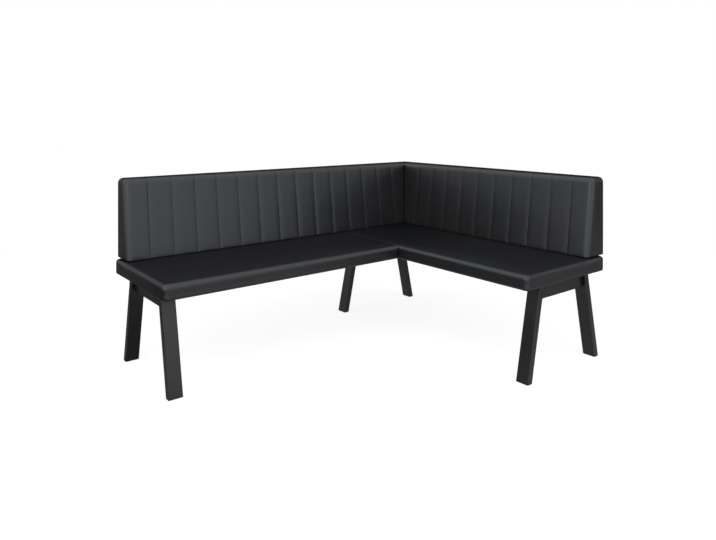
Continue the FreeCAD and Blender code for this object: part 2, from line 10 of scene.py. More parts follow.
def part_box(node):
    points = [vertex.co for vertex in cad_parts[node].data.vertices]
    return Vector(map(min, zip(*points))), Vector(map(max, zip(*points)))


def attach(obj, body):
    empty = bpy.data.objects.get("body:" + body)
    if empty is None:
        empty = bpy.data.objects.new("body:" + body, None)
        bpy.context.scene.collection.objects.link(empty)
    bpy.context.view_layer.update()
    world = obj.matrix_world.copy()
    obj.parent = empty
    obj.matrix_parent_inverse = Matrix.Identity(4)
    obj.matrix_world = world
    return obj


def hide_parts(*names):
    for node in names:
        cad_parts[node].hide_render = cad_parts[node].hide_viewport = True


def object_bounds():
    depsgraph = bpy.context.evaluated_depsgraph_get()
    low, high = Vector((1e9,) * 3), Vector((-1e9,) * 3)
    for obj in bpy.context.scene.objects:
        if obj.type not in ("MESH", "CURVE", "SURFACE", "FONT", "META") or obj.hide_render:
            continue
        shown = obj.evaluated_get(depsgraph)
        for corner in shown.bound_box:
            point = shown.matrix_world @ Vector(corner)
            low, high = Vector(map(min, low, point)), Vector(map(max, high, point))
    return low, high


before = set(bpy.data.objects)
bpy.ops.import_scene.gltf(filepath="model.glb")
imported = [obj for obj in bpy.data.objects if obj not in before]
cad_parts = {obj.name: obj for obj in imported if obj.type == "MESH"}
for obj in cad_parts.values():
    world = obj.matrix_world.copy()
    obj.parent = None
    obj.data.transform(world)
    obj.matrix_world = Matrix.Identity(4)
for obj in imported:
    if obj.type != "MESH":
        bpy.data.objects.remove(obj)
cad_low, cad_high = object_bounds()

scene = bpy.context.scene

# Metres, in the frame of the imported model. The outer back corner of the bench is the high corner of its box:
# the long wing runs from it along -X and the short wing along -Y. "Along" is the distance from that corner
# down a wing, and "out" is the distance from the rear plane of that wing towards the sitter.

# Places read from the frame
corner_x, corner_y = cad_high.x, cad_high.y
long_cover_low, long_cover_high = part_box("long_seat_cover")
short_cover_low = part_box("short_seat_cover")[0]
back_low, back_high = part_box("long_back_cover")
short_back_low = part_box("short_back_cover")[0]
seat_near = corner_y - long_cover_high.y
seat_front = corner_y - long_cover_low.y
seat_bottom = long_cover_low.z
seat_top = long_cover_high.z
long_end = corner_x - cad_low.x
short_end = corner_y - cad_low.y
seam_along = (corner_x - long_cover_high.x + corner_x - short_cover_low.x) / 2
back_end = {"long": corner_x - back_low.x, "short": corner_y - short_back_low.y}
back_base, back_top = back_low.z, back_high.z

# Mesh lines of the skins: their usual pitch, the least gap between two, and the steps round an edge
SKIN_GRID = 0.012
LINE_APART = 0.0004
ROUND_STEPS = 3

# Seats. The top edge is tighter at the rear, under the backs, and widens over the reach given.
SEAT_TOP_RADIUS = 0.020
SEAT_BOTTOM_RADIUS = 0.010
SEAT_CORNER_RADIUS = 0.035
SEAT_FRONT_CORNER_RADIUS = 0.020
SEAT_REAR_TOP_RADIUS = 0.010
SEAT_REAR_REACH = (0.030, 0.110)
SEAT_CROWN = 0.003
CROWN_REACH = 0.110
SEAM_HALF_GAP = 0.0003
SEAM_TURN = 0.0012
INNER_CORNER_REACH = 0.04
SIDE_DRAW_IN = 0.0015
DRAW_IN_REACH = 0.060

# Backs: wedges with a raked front that is sewn in channels, joined on a mitre at the corner of the bench
BACK_BOTTOM_DEPTH = 0.148
BACK_TOP_DEPTH = 0.102
BACK_RADIUS = 0.022
BACK_FOOT_RADIUS = 0.004
BACK_GRID = 0.008
BACK_DEPTH_GRID = 0.016

# Mitre: the radius of its front edge, how far below the top that fades out, and how far mesh lines slant
MITRE_RADIUS = 0.007
MITRE_LEAST_RADIUS = 0.0005
MITRE_TOP = (0.012, 0.030)
MITRE_REACH = 0.200

# Channels, counted from the free end of a back, and the mesh lines on each side of one
CHANNEL_PITCH = 0.1125
FIRST_CHANNEL = 0.104
CHANNEL_DEPTH = 0.0007
CHANNEL_TOP_FADE = (0.02, 0.25)
CHANNEL_LINES = (0.0, 0.0016, 0.0036, 0.0075, 0.014, 0.024, 0.036, 0.046)

# Sewn crease in each channel, how far it wavers sideways, and the puckers beside it. Each wave up the height
# has a size, radians per metre and a shift from one channel to the next.
CREASE_DEPTH = 0.0007
CREASE_HALF_WIDTH = 0.0022
CREASE_WAVES = ((0.30, 61, 1.3), (0.20, 143, 2.9))
WAVER = 0.0002
WAVER_HALF_WIDTH = 0.020
WAVER_WAVES = ((1.0, 47, 2.1), (0.5, 119, 4.3))
PUCKER = 0.0002
PUCKER_HALF_WIDTH = 0.012
PUCKER_TURNS = (360, 97)
PUCKER_SHIFT = 1.9

# Cloth, and how far it may swell the skins
CLOTH_FRAMES = 20
CLOTH_QUALITY = 4
CLOTH_MASS = 0.4
CLOTH_PRESSURE = 4.0
CLOTH_STIFFNESS = 30.0
CLOTH_BENDING = 2.0
SEAT_SWELL = 0.0012
BACK_SWELL = 0.0005
HELD_REACH = 0.0012

# Stitches: each is a short bar whose rings have a place along it and a width, as shares
STITCH_LENGTH = 0.0034
STITCH_PITCH = 0.0048
STITCH_RADIUS = 0.00045
STITCH_PROUD = 0.0001
STITCH_SEEK = 0.020
STITCH_SIDES = 6
STITCH_RINGS = ((-0.5, 0.3), (-0.36, 1.0), (0.36, 1.0), (0.5, 0.3))

# Colours, dark to light, and the texture's scale along and across the grain
LEATHERETTE = ((0.0072, 0.0075, 0.0082), (0.0118, 0.0120, 0.0128))
THREAD = ((0.012, 0.012, 0.013), (0.022, 0.022, 0.024))
LACQUER = ((0.0040, 0.0040, 0.0042), (0.0085, 0.0084, 0.0082))
TIMBER = ((0.50, 0.36, 0.20), (0.68, 0.52, 0.34))
PLYWOOD = ((0.56, 0.42, 0.26), (0.72, 0.58, 0.40))
BEECH = ((0.60, 0.44, 0.30), (0.74, 0.58, 0.42))
LINING = ((0.016, 0.016, 0.017), (0.030, 0.030, 0.032))
FELT = ((0.06, 0.06, 0.062), (0.12, 0.12, 0.125))
FOAM = ((0.70, 0.66, 0.52), (0.82, 0.78, 0.66))
POWDER_COAT = ((0.012, 0.012, 0.012), (0.020, 0.020, 0.020))
ZINC = ((0.50, 0.51, 0.53), (0.62, 0.63, 0.65))
CARD = ((0.004, 0.004, 0.004), (0.008, 0.008, 0.008))
WHITE = (1, 1, 1, 1)
LACQUER_GRAIN = (9, 160)
TIMBER_GRAIN = (9, 120)
PLYWOOD_GRAIN = (12, 90)

# Leatherette: it mirrors less where it is seen at a slant
PEBBLES_PER_METRE = 650.0
GLOSS_FACING = (0.45, 0.80)
GLOSS_LEVELS = (0.5, 0.05)

# Camera, matched to the photograph: focal length and horizon in pixels of its 716 x 540 frame
IMAGE_WIDTH, IMAGE_HEIGHT = 716, 540
FOCAL_PIXELS = 626.2872
HORIZON_Y = 118.5254
CAMERA_HEADING = math.radians(38.5062)
CAMERA_PLACE = (-1.7924, -2.2198, 1.1011)
SENSOR_WIDTH = 36.0
CAMERA_CLIP = (0.05, 100.0)

# Studio, seen only in reflections and as soft light. Directions point at what they name, and the levels are
# brightness against how far a direction turns from the dark side (0) to the bright side (1).
STUDIO_BRIGHT = (-0.6586, -0.5066, 0.5573)
STUDIO_LEVELS = ((0.24, 0.01), (0.31, 0.30), (0.40, 0.30), (0.46, 0.70),
                 (0.53, 1.02), (0.61, 1.50), (0.70, 1.72))
STUDIO_SHADED = (-0.7454, 0.5963, -0.2982)
SHADED_SPAN = (0.60, 0.92)
SHADED_LEVEL = 0.66
STUDIO_TINT = (0.945, 0.968, 1.0, 1)
DIFFUSE_FRONT = (-0.6399, -0.7614, 0.1004)
DIFFUSE_SPAN = (-0.2, 0.7)
DIFFUSE_LIGHT = 1.3
SOFTBOX_PLACE = (-2.6, -1.7, 1.7)
SOFTBOX_TARGET = (0.0, 0.2, 0.5)
SOFTBOX_SIZE = (1.1, 1.3)
SOFTBOX_POWER = 9.0
FLOOR_REACH = 3.6
FLOOR_COLOUR = (0.40, 0.40, 0.40)
FLOOR_SPECKLE = 0.02
FLOOR_LIFT = 0.88
FLOOR_MIRRORED = 0.36
FLOOR_DIMS_BEHIND = (0.65, 1.45)
FLOOR_DIMS_RIGHT = (0.7, 2.1)
FLOOR_DIMS_LEFT = (0.40, 1.00)
FLOOR_LEFT_SLANT = 0.35
FLOOR_KEPT_BEHIND, FLOOR_KEPT_RIGHT, FLOOR_KEPT_LEFT = 0.0, 0.35, 0.1
CARD_X = -1.3
CARD_Y = (-0.15, 1.45)
CARD_HEIGHT = 0.42


def tan_steps(radius):
    """Offsets from a box edge that land at equal angles on its rounding."""
    shares = [step / ROUND_STEPS for step in range(ROUND_STEPS + 1)]
    return [radius * (1 - math.tan(math.pi / 4 * (1 - share))) for share in shares]


def spread(start, end, pitch):
    """Evenly spaced values from start to end, close to a pitch."""
    count = max(1, round((end - start) / pitch))
    return [start + (end - start) * index / count for index in range(count + 1)]


def lines(*groups):
    """All values of several groups in order, without near doubles."""
    merged = sorted(value for group in groups for value in group)
    kept = [merged[0]]
    for value in merged[1:]:
        if value - kept[-1] > LINE_APART:
            kept.append(value)
    return kept


def round_pair(a, b, radius):
    """Distances from two faces of a sharp edge, moved so that the edge becomes an arc of a radius."""
    u, v = radius - a, radius - b
    inside = (u > 0) & (v > 0)
    reach = np.maximum(u, v)
    length = np.hypot(np.where(inside, u, 1.0), np.where(inside, v, 0.0))
    share = np.where(inside, reach / length, 1.0)
    return radius - u * share, radius - v * share


def smooth(value, low, high):
    """0 below low, 1 above high and an even turn between."""
    t = np.clip((value - low) / (high - low), 0.0, 1.0)
    return t * t * (3 - 2 * t)


def box_skin(xs, ys, zs):
    """The skin of a block of cells: points as an array, faces as index lists."""
    index, points, faces = {}, [], []

    def vertex(i, j, k):
        key = (i, j, k)
        if key not in index:
            index[key] = len(points)
            points.append((xs[i], ys[j], zs[k]))
        return index[key]

    top = len(zs) - 1
    for i in range(len(xs) - 1):
        for j in range(len(ys) - 1):
            faces.append([vertex(i, j, top), vertex(i + 1, j, top),
                          vertex(i + 1, j + 1, top), vertex(i, j + 1, top)])
            faces.append([vertex(i, j, 0), vertex(i, j + 1, 0), vertex(i + 1, j + 1, 0), vertex(i + 1, j, 0)])
            sides = [
                (i == 0, (i, j + 1), (i, j)),
                (i == len(xs) - 2, (i + 1, j), (i + 1, j + 1)),
                (j == 0, (i, j), (i + 1, j)),
                (j == len(ys) - 2, (i + 1, j + 1), (i, j + 1)),
            ]
            for open_side, a, b in sides:
                for k in range(top if open_side else 0):
                    faces.append([vertex(*a, k), vertex(*b, k), vertex(*b, k + 1), vertex(*a, k + 1)])
    return np.array(points, float), faces


def added(name, data):
    """A new object in the scene."""
    made = bpy.data.objects.new(name, data)
    scene.collection.objects.link(made)
    return made


def flat_piece(name, corners):
    """One flat face between four corners."""
    mesh = bpy.data.meshes.new(name)
    mesh.from_pydata(corners, [], [(0, 1, 2, 3)])
    return added(name, mesh)


def make_piece(name, points, faces):
    """A smooth-shaded object with its faces turned outwards."""
    mesh = bpy.data.meshes.new(name)
    mesh.from_pydata([tuple(p) for p in points], [], faces)
    mesh.validate()
    piece = added(name, mesh)
    tidy = bmesh.new()
    tidy.from_mesh(mesh)
    bmesh.ops.recalc_face_normals(tidy, faces=tidy.faces)
    tidy.to_mesh(mesh)
    tidy.free()
    mesh.shade_smooth()
    return piece


def apply_modifiers(piece):
    """Makes the modified shape the piece's own mesh."""
    graph = bpy.context.evaluated_depsgraph_get()
    graph.update()
    mesh = bpy.data.meshes.new_from_object(piece.evaluated_get(graph))
    piece.modifiers.clear()
    piece.data = mesh
    return piece


def subdivided(piece):
    """One level of subdivision, so that the turns at the edges read as round."""
    modifier = piece.modifiers.new("surface", "SUBSURF")
    modifier.levels = modifier.render_levels = 1
    modifier.boundary_smooth = "PRESERVE_CORNERS"
    return apply_modifiers(piece)


def puffed(piece, held, cap):
    """Blows a piece up a little as cloth held at some points. No point moves further than the cap."""
    group = piece.vertex_groups.new(name="held")
    group.add([int(index) for index in np.flatnonzero(held)], 1.0, "REPLACE")
    cloth = piece.modifiers.new("cloth", "CLOTH")
    cloth.settings.quality = CLOTH_QUALITY
    cloth.settings.mass = CLOTH_MASS
    cloth.settings.tension_stiffness = CLOTH_STIFFNESS
    cloth.settings.compression_stiffness = CLOTH_STIFFNESS
    cloth.settings.shear_stiffness = CLOTH_STIFFNESS / 2
    cloth.settings.bending_stiffness = CLOTH_BENDING
    cloth.settings.use_pressure = True
    cloth.settings.uniform_pressure_force = CLOTH_PRESSURE
    cloth.settings.effector_weights.gravity = 0.0
    cloth.settings.vertex_group_mass = "held"
    cloth.collision_settings.use_collision = False
    cloth.point_cache.frame_start = 1
    cloth.point_cache.frame_end = CLOTH_FRAMES
    for frame_number in range(1, CLOTH_FRAMES + 1):
        scene.frame_set(frame_number)
    rest = np.array([vertex.co for vertex in piece.data.vertices])
    moved = piece.evaluated_get(bpy.context.evaluated_depsgraph_get())
    blown = np.array([vertex.co for vertex in moved.to_mesh().vertices])
    moved.to_mesh_clear()
    piece.modifiers.clear()
    piece.vertex_groups.clear()
    scene.frame_set(1)
    shift = blown - rest
    length = np.linalg.norm(shift, axis=1, keepdims=True)
    shift = shift * (cap * np.tanh(length / cap) / np.maximum(length, 1e-9))
    for vertex, place in zip(piece.data.vertices, rest + shift):
        vertex.co = place
    return piece


def plan_place(along, out, wing):
    """The x and y of a place on a wing."""
    if wing == "long":
        return corner_x - along, corner_y - out
    return corner_x - out, corner_y - along


def seat_points(p, q, z):
    """Moves points of the sharp L-shaped block (p and q from the outer corner) onto the seat's soft form."""
    # The radius of the nearest edge above or below, and the gaps to it and to the nearest side
    level = seat_top - SEAT_CROWN
    upper = z > (level + seat_bottom) / 2
    freed = smooth(np.minimum(p, q) - seat_near, *SEAT_REAR_REACH)
    top_radius = SEAT_REAR_TOP_RADIUS + (SEAT_TOP_RADIUS - SEAT_REAR_TOP_RADIUS) * freed
    radius = np.where(upper, top_radius, SEAT_BOTTOM_RADIUS)
    height = np.where(upper, level - z, z - seat_bottom)
    front_gap = np.maximum(seat_front - p, seat_front - q)
    inset = np.minimum.reduce([p - seat_near, q - seat_near, long_end - p, short_end - q, front_gap])

    # Edges round the top and the bottom
    def drawn(distance):
        """A gap to a side, made larger where the edge above or below it turns."""
        return round_pair(np.maximum(distance, 0), height, radius)[0]

    def settle(value, far):
        """A place between the rear and a far side, drawn in at both."""
        low, high = value - seat_near, far - value
        value = np.where(low < radius, seat_near + drawn(low), value)
        return np.where(high < radius, far - drawn(high), value)

    at_front = drawn(np.zeros_like(p))

    def settle_front(value):
        """A place drawn in at the front. Past the inner corner, in the other wing, the shift fades out."""
        gap = seat_front - value
        pulled = np.where(gap < radius, seat_front - drawn(gap), value)
        beyond = value - at_front * (1 - smooth(-gap, 0.0, INNER_CORNER_REACH))
        return np.where(gap >= 0, pulled, beyond)

    new_p = settle_front(settle(p, long_end))
    new_q = settle_front(settle(q, short_end))
    new_height = round_pair(inset, height, radius)[1]
    new_z = np.where(upper, level - new_height, seat_bottom + new_height)

    # Upright edges at the corners of the plan, each with the directions that lead into the seat
    corners = [(seat_near, 1, seat_near, 1, SEAT_CORNER_RADIUS),
               (seat_near, 1, short_end, -1, SEAT_CORNER_RADIUS),
               (seat_front, -1, short_end, -1, SEAT_FRONT_CORNER_RADIUS),
               (long_end, -1, seat_near, 1, SEAT_CORNER_RADIUS),
               (long_end, -1, seat_front, -1, SEAT_FRONT_CORNER_RADIUS)]
    for corner_p, sign_p, corner_q, sign_q, corner_radius in corners:
        gap_p, gap_q = (new_p - corner_p) * sign_p, (new_q - corner_q) * sign_q
        near = (np.maximum(gap_p, gap_q) < corner_radius) & (np.minimum(gap_p, gap_q) > -SEAM_HALF_GAP)
        moved_p, moved_q = round_pair(gap_p, gap_q, corner_radius)
        new_p = np.where(near, corner_p + sign_p * moved_p, new_p)
        new_q = np.where(near, corner_q + sign_q * moved_q, new_q)

    # Sides drawn in between their corners
    def pulled(value, plane, sign, other, start, finish):
        """A place moved in from a side that runs from start to finish, most at its middle."""
        gap = (value - plane) * sign
        way = np.clip((other - start) / (finish - start), 0, 1)
        bow = 4 * way * (1 - way)
        return value + sign * SIDE_DRAW_IN * bow * (1 - smooth(gap, 0, DRAW_IN_REACH))

    new_p = pulled(new_p, seat_near, 1, q, seat_near, short_end)
    new_p = pulled(new_p, long_end, -1, q, seat_near, seat_front)
    new_p = pulled(new_p, seat_front, -1, q, seat_front, short_end)
    new_q = pulled(new_q, seat_near, 1, p, seat_near, long_end)
    new_q = pulled(new_q, short_end, -1, p, seat_near, seat_front)
    new_q = pulled(new_q, seat_front, -1, p, seat_front, long_end)

    # Crown, which rises from the front and the free ends
    free_gap = np.minimum.reduce([long_end - p, short_end - q, front_gap])
    share = np.clip((z - seat_bottom) / (level - seat_bottom), 0, 1)
    crown = 1 - np.clip((CROWN_REACH - free_gap) / (CROWN_REACH - SEAT_TOP_RADIUS), 0, 1) ** 2
    new_z = new_z + SEAT_CROWN * crown * share
    return new_p, new_q, new_z


def seat_mesh(name, wing):
    """One seat of the L, whose wing is "long" or "short". The two meet in a flat face at the seam."""
    top_steps, low_steps = tan_steps(SEAT_TOP_RADIUS), tan_steps(SEAT_BOTTOM_RADIUS)
    edge_steps = lines(top_steps, tan_steps(SEAT_CORNER_RADIUS), tan_steps(SEAT_FRONT_CORNER_RADIUS))
    wide = spread(seat_near + SEAT_CORNER_RADIUS, seat_front - SEAT_CORNER_RADIUS, SKIN_GRID)
    near_steps = [seat_near + step for step in edge_steps]
    front_steps = [seat_front - step for step in edge_steps]
    if wing == "long":
        start = seam_along + SEAM_HALF_GAP
        run = spread(start, long_end - SEAT_CORNER_RADIUS, SKIN_GRID)
        ps = lines(run, [start + SEAM_TURN], [long_end - step for step in edge_steps])
        qs = lines(near_steps, wide, front_steps)
    else:
        start = seam_along - SEAM_HALF_GAP
        ps = lines([min(value, start) for value in lines(near_steps, wide, front_steps)], [start - SEAM_TURN])
        ps[-1] = start
        run = spread(seat_front, short_end - SEAT_CORNER_RADIUS, SKIN_GRID)
        qs = lines(near_steps, wide, front_steps, run, [short_end - step for step in edge_steps])
    level = seat_top - SEAT_CROWN
    zs = lines([seat_bottom + step for step in low_steps], [level - step for step in top_steps],
               spread(seat_bottom + SEAT_BOTTOM_RADIUS, level - SEAT_TOP_RADIUS, SKIN_GRID))
    points, faces = box_skin(ps, qs, zs)
    p, q, z = seat_points(points[:, 0], points[:, 1], points[:, 2])
    piece = make_piece(name, np.stack([*plan_place(p, q, "long"), z], axis=1), faces)
    low = z < seat_bottom + SEAT_BOTTOM_RADIUS + HELD_REACH
    covered = np.minimum(p, q) < BACK_BOTTOM_DEPTH + HELD_REACH
    puffed(piece, low | covered, SEAT_SWELL)
    at_seam = (np.abs(p - seam_along) < SEAM_TURN * 2) & (q < seat_front - SEAT_TOP_RADIUS)
    for index in np.flatnonzero(at_seam):
        piece.data.vertices[index].co.x = corner_x - p[index]
    return piece


def channel_places(wing):
    """Where the sewn channels of a back lie along it."""
    places = []
    along = back_end[wing] - FIRST_CHANNEL
    while along > BACK_BOTTOM_DEPTH + CHANNEL_PITCH / 4:
        places.append(along)
        along -= CHANNEL_PITCH
    return places


def rake(z):
    """How far the raked front lies behind its foot at a height."""
    return (BACK_BOTTOM_DEPTH - BACK_TOP_DEPTH) * (z - seat_top) / (back_top - seat_top)


def waves(terms, z, seam):
    """A sum of sines up the height, shifted from one channel to the next."""
    return sum(size * np.sin(turns * z + shift * seam) for size, turns, shift in terms)


def channel_form(along, z, wing):
    """How deep the front lies below its panels' crowns, and how far it wavers sideways at the seams."""
    from_first = (back_end[wing] - FIRST_CHANNEL - along) / CHANNEL_PITCH
    seam = np.round(from_first)
    near = (from_first - seam) * CHANNEL_PITCH
    gap = np.abs(near)
    panel = CHANNEL_DEPTH * (1 - gap * 2 / CHANNEL_PITCH) ** 4
    uneven = 1 + waves(CREASE_WAVES, z, seam)
    crease = CREASE_DEPTH * uneven * np.exp(-((near / CREASE_HALF_WIDTH) ** 2))
    fast, slow = PUCKER_TURNS
    pucker = PUCKER * np.sin(fast * z + PUCKER_SHIFT * seam + np.sign(near)) * np.sin(slow * z + seam)
    pucker = pucker * np.exp(-((gap / PUCKER_HALF_WIDTH) ** 2))
    waver = WAVER * waves(WAVER_WAVES, z, seam)
    return panel + crease + pucker, waver * np.exp(-((near / WAVER_HALF_WIDTH) ** 2))


def back_points(along, out, z, wing):
    """Moves points of the sharp block of a back onto its rounded, raked, mitred and channelled form."""
    # Edges round the top and the foot
    end = back_end[wing]
    upper = z > (back_base + back_top) / 2
    radius = np.where(upper, BACK_RADIUS, BACK_FOOT_RADIUS)
    height = np.where(upper, back_top - z, z - back_base)
    end_gap, front_gap = end - along, BACK_BOTTOM_DEPTH - out
    in_front = front_gap < out
    inset = np.minimum.reduce([end_gap, out, front_gap])

    def drawn(distance):
        """A gap to a side, made larger where the edge above or below it turns."""
        return round_pair(distance, height, radius)[0]

    new_end, side = drawn(end_gap), drawn(np.where(in_front, front_gap, out))
    new_height = round_pair(inset, height, radius)[1]
    new_z = np.where(upper, back_top - new_height, back_base + new_height)

    # How much of a point's surface faces the sitter, and how much of it faces up
    facing = np.where(in_front, np.clip(1 - side / radius, 0, 1), 0)
    rising = np.where(upper, np.clip(1 - new_height / radius, 0, 1), 0)

    # Upright edges at the free end, then those at the mitre, where the front one is rounder below the top
    new_end, side = round_pair(new_end, side, BACK_RADIUS)
    new_along = end - new_end
    groove = np.where(in_front, MITRE_RADIUS * smooth(back_top - new_z, *MITRE_TOP), 0) + MITRE_LEAST_RADIUS
    new_along, side = round_pair(new_along, side, groove)
    new_out = np.where(in_front, BACK_BOTTOM_DEPTH - side, side)

    # Channels, calm near the mitre and the free end, and the rake of the front
    sink, waver = channel_form(along, z, wing)
    calm = smooth(along, BACK_BOTTOM_DEPTH, BACK_BOTTOM_DEPTH + CHANNEL_PITCH / 2)
    calm = calm * smooth(end_gap, BACK_RADIUS, BACK_RADIUS * 2)
    sink = sink * calm * smooth(facing, *CHANNEL_TOP_FADE)
    new_along = new_along + waver * calm * facing
    lean = np.clip((new_out - BACK_RADIUS) / (BACK_BOTTOM_DEPTH - 2 * BACK_RADIUS), 0, 1)
    new_out = new_out - rake(new_z) * lean - sink * facing
    new_z = new_z - sink * rising

    # The mitre's slant, with half a gap, and the upright edge at the outer corner of the bench
    mitred = new_out + new_along * (MITRE_REACH - new_out) / MITRE_REACH
    new_along = np.where(new_along < MITRE_REACH, mitred + SEAM_HALF_GAP * math.sqrt(2), new_along)
    return (*round_pair(new_along, new_out, BACK_RADIUS), new_z)


def back_mesh(name, wing):
    """One back, with mesh lines gathered at its channels and edges."""
    steps = tan_steps(BACK_RADIUS)
    end = back_end[wing]
    places = channel_places(wing)
    creases = [place + sign * step for place in places for sign in (-1, 1) for step in CHANNEL_LINES]
    near_mitre = spread(MITRE_RADIUS, places[-1] - CHANNEL_LINES[-1], SKIN_GRID)[:-1]
    near_end = spread(places[0] + CHANNEL_LINES[-1], end - BACK_RADIUS, SKIN_GRID)
    crowns = [place - CHANNEL_PITCH / 2 for place in places[:-1]]
    alongs = lines(tan_steps(MITRE_RADIUS), near_mitre, creases, near_end, crowns,
                   [end - step for step in steps])
    outs = lines(steps, spread(BACK_RADIUS, BACK_BOTTOM_DEPTH - BACK_RADIUS, BACK_DEPTH_GRID),
                 [BACK_BOTTOM_DEPTH - step for step in steps])
    zs = lines([back_base + step for step in tan_steps(BACK_FOOT_RADIUS)],
               spread(back_base + BACK_FOOT_RADIUS, back_top - BACK_RADIUS, BACK_GRID),
               [back_top - step for step in steps])
    points, faces = box_skin(alongs, outs, zs)
    sharp_along, sharp_out, sharp_z = points.T
    along, out, z = back_points(sharp_along, sharp_out, sharp_z, wing)
    piece = make_piece(name, np.stack([*plan_place(along, out, wing), z], axis=1), faces)
    sewn = np.min([np.abs(sharp_along - place) for place in places], axis=0) < HELD_REACH
    flat = (sharp_out < BACK_BOTTOM_DEPTH / 2) | (sharp_z < back_base + HELD_REACH)
    mitred = sharp_along < MITRE_RADIUS + HELD_REACH
    return puffed(piece, sewn | flat | mitred, BACK_SWELL)


def stitches(name, back, wing):
    """One row of short stitches in every channel, laid on the finished surface."""
    sides = STITCH_SIDES
    surface = BVHTree.FromObject(back, bpy.context.evaluated_depsgraph_get())
    towards = Vector((0, 1, 0)) if wing == "long" else Vector((1, 0, 0))
    across = towards.cross(Vector((0, 0, 1))).normalized()
    points, faces = [], []
    for place in channel_places(wing):
        for z in spread(back_base + BACK_FOOT_RADIUS, back_top - BACK_RADIUS / 3, STITCH_PITCH):
            spot = np.array([[place], [BACK_BOTTOM_DEPTH], [z]])
            along, out, _ = (float(value[0]) for value in back_points(*spot, wing))
            start = Vector((*plan_place(along, out, wing), z)) - towards * STITCH_SEEK
            hit, normal, _, _ = surface.ray_cast(start, towards, 2 * STITCH_SEEK)
            if hit is None:
                continue
            run = normal.cross(across).normalized()
            first = len(points)
            for share, width in STITCH_RINGS:
                centre = hit + normal * STITCH_PROUD + run * (share * STITCH_LENGTH)
                for side in range(sides):
                    turn = 2 * math.pi * side / sides
                    edge = across * math.cos(turn) + normal * math.sin(turn)
                    points.append(centre + edge * (STITCH_RADIUS * width))
            for ring in range(len(STITCH_RINGS) - 1):
                for side in range(sides):
                    a, b = first + ring * sides + side, first + ring * sides + (side + 1) % sides
                    faces.append([a, b, b + sides, a + sides])
            faces.append([first + side for side in range(sides)])
            faces.append([len(points) - sides + side for side in range(sides)])
    return make_piece(name, points, faces)


class Nodes:
    """Short names for building the node tree of a material or a world."""

    def __init__(self, owner, shader):
        owner.use_nodes = True
        self.owner = owner
        self.tree = owner.node_tree
        self.shader = self.tree.nodes[shader]

    def add(self, kind, **values):
        """A new shader node with some of its settings."""
        node = self.tree.nodes.new("ShaderNode" + kind)
        for key, value in values.items():
            setattr(node, key, value)
        return node

    def link(self, source, target):
        self.tree.links.new(source, target)

    def place(self, scale=(1, 1, 1)):
        """Object coordinates, stretched by a scale per axis."""
        coordinates = self.add("TexCoord")
        mapping = self.add("Mapping")
        mapping.inputs["Scale"].default_value = scale
        self.link(coordinates.outputs["Object"], mapping.inputs["Vector"])
        return mapping.outputs["Vector"]

    def noise(self, vector, scale, detail, rough=0.5):
        """Fractal noise, with its scale in cells per metre."""
        node = self.add("TexNoise")
        node.inputs["Scale"].default_value = scale
        node.inputs["Detail"].default_value = detail
        node.inputs["Roughness"].default_value = rough
        self.link(vector, node.inputs["Vector"])
        return node.outputs["Fac"]

    def ramp(self, fac, stops, turn="LINEAR"):
        """Colours at places between 0 and 1."""
        node = self.add("ValToRGB")
        ramp = node.color_ramp
        ramp.interpolation = turn
        while len(ramp.elements) < len(stops):
            ramp.elements.new(0.5)
        for element, (place, colour) in zip(ramp.elements, stops):
            element.position = place
            element.color = (*colour, 1.0)
        self.link(fac, node.inputs["Fac"])
        return node.outputs["Color"]

    def two_tone(self, fac, colours, low=0.3, high=0.7):
        """A dark and a light colour, mixed between two places of a value."""
        return self.ramp(fac, list(zip((low, high), colours)))

    def span(self, value, low, high, ends=(0.0, 1.0), kind="LINEAR"):
        """A value that runs from low to high while another runs between two ends."""
        node = self.add("MapRange", interpolation_type=kind)
        for socket, number in zip(("From Min", "From Max", "To Min", "To Max"), (*ends, low, high)):
            node.inputs[socket].default_value = number
        self.link(value, node.inputs["Value"])
        return node.outputs["Result"]

    def math(self, operation, *values):
        """One operation on numbers or on what other nodes give."""
        node = self.add("Math", operation=operation)
        for socket, value in zip(node.inputs, values):
            if isinstance(value, (int, float)):
                socket.default_value = value
            else:
                self.link(value, socket)
        return node.outputs[0]

    def blend(self, first, second):
        """The sum of two values, each given with its share."""
        return self.math("ADD", self.math("MULTIPLY", *first), self.math("MULTIPLY", *second))

    def bump(self, height, distance, strength, below=None):
        """A normal bumped by a height times a distance, over another bump if one is given."""
        node = self.add("Bump")
        node.inputs["Distance"].default_value = distance
        node.inputs["Strength"].default_value = strength
        self.link(height, node.inputs["Height"])
        if below is not None:
            self.link(below, node.inputs["Normal"])
        return node.outputs["Normal"]

    def finish(self, colour, roughness, normal=None):
        """Links a look to the shader and gives the material."""
        self.link(colour, self.shader.inputs["Base Color"])
        self.link(roughness, self.shader.inputs["Roughness"])
        if normal is not None:
            self.link(normal, self.shader.inputs["Normal"])
        return self.owner

    def rays(self):
        """Whether a ray is the camera's own, and whether something mirrored it or let it through."""
        path = self.add("LightPath")
        mirrored = self.math("MAXIMUM", path.outputs["Is Glossy Ray"], path.outputs["Is Transmission Ray"])
        return path.outputs["Is Camera Ray"], mirrored


def new_material(name):
    """Nodes for a new material."""
    return Nodes(bpy.data.materials.new(name), "Principled BSDF")


